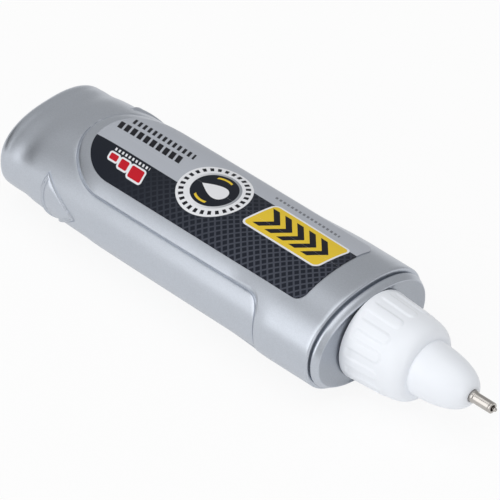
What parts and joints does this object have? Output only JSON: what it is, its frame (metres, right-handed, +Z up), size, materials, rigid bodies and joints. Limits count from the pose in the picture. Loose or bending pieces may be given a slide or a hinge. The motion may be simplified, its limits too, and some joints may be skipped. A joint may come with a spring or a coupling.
{
  "type": "correction pen",
  "caption": "Flat oval squeeze barrel with a screw-on ribbed nozzle, a steel writing tube and a sprung valve pin that lets correction fluid out when pressed.",
  "frame": {"origin": "middle of the pen's length and width, on the surface that it lies on", "axes": "+X along the pen towards its tip, +Y across it, +Z up through the label side"},
  "size_m": [0.0942, 0.025, 0.0169],
  "materials": {
    "silver_plastic": "satin silver with a fine metallic pigment",
    "label_film": "printed film",
    "white_plastic": "semi-gloss moulded",
    "washer_foam": "soft",
    "tip_steel": "drawn and polished",
    "spring_steel": "drawn wire",
    "ball_steel": "polished",
    "valve_plastic": "moulded"
  },
  "bodies": {
    "barrel": {"bottle": "silver_plastic", "label_film": "label_film", "mixing_ball": "ball_steel"},
    "washer": {"sealing_washer": "washer_foam"},
    "tip": {"nozzle": "white_plastic", "writing_tube": "tip_steel", "valve_spring": "spring_steel", "spring_retainer": "valve_plastic"},
    "pin": {"valve_pin": "tip_steel", "valve_collar": "valve_plastic"}
  },
  "joints": [
    {"name": "washer_lift", "type": "slide", "parent": "barrel", "child": "washer", "axis": [1, 0, 0], "range_m": [0, 0.007]},
    {"name": "nozzle_turn", "type": "hinge", "parent": "washer", "child": "tip", "pos_m": [0.0266, 0, 0.0083], "axis": [1, 0, 0], "range_deg": [0, 1260]},
    {"name": "pin_press", "type": "slide", "parent": "tip", "child": "pin", "axis": [-1, 0, 0], "range_m": [0, 0.00055], "stiffness_N_per_m": 800, "springref_m": -0.0002, "deforming": ["valve_spring"]}
  ],
  "couplings": [
    {"joint": "washer_lift", "follows": "nozzle_turn", "m_per_rad": 0.00031831}
  ]
}
